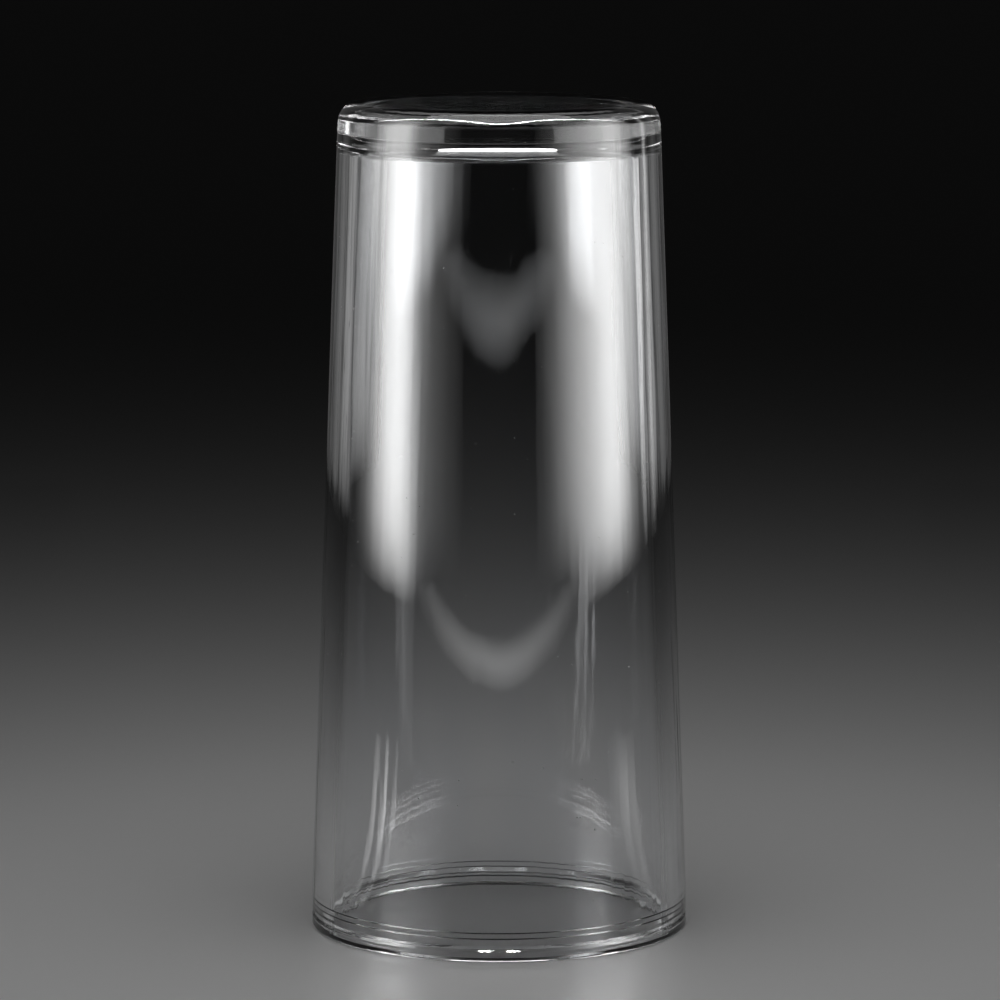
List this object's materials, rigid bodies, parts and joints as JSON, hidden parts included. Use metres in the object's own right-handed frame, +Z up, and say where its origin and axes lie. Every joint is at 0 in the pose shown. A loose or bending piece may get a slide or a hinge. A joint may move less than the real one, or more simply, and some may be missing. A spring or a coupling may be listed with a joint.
{
  "type": "clear tumbler cup",
  "caption": "Clear one-piece moulded tumbler standing mouth down, tapered, thick-walled, with a stepped lip, a rounded heel and a slightly dished base.",
  "frame": {"origin": "centre of the mouth, on the plane that the rim rests on", "axes": "+Z up along the cup's axis, from the mouth to the closed end; X and Y are equivalent, because the cup is a solid of revolution"},
  "size_m": [0.0684, 0.0684, 0.15],
  "materials": {
    "clear_plastic": "colourless clear moulded plastic, polished, with faint flow lines, fine scuffs on the rim and heel"
  },
  "bodies": {
    "root": {"cup": "clear_plastic"}
  },
  "joints": []
}
